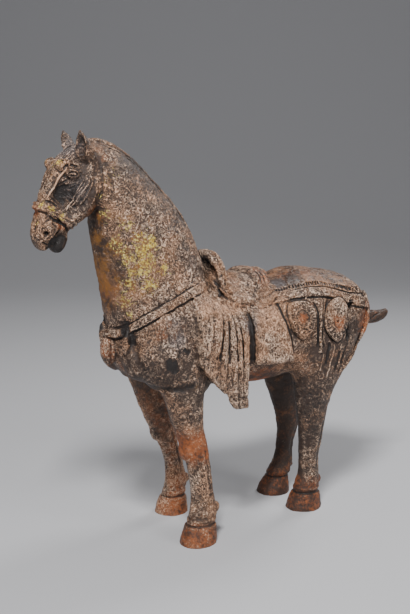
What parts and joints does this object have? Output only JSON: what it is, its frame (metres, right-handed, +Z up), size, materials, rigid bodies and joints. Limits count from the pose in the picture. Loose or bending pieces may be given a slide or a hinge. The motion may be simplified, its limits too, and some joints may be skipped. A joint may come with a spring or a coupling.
{
  "type": "chinese tomb horse",
  "caption": "Standing saddled tomb horse in fired clay, with arched neck, pleated saddle cloth, breast strap and crupper with pendants, on its own hooves.",
  "frame": {"origin": "on the ground, under the middle of the bounding box", "axes": "+Z up, the horse faces -X, its left (near) side faces -Y"},
  "size_m": [0.5952, 0.1823, 0.56],
  "materials": {
    "fired_clay": "unglazed terracotta with worn pinkish slip, dark brown patina and traces of gilding"
  },
  "bodies": {
    "root": {"tomb_horse": "fired_clay"}
  },
  "joints": []
}
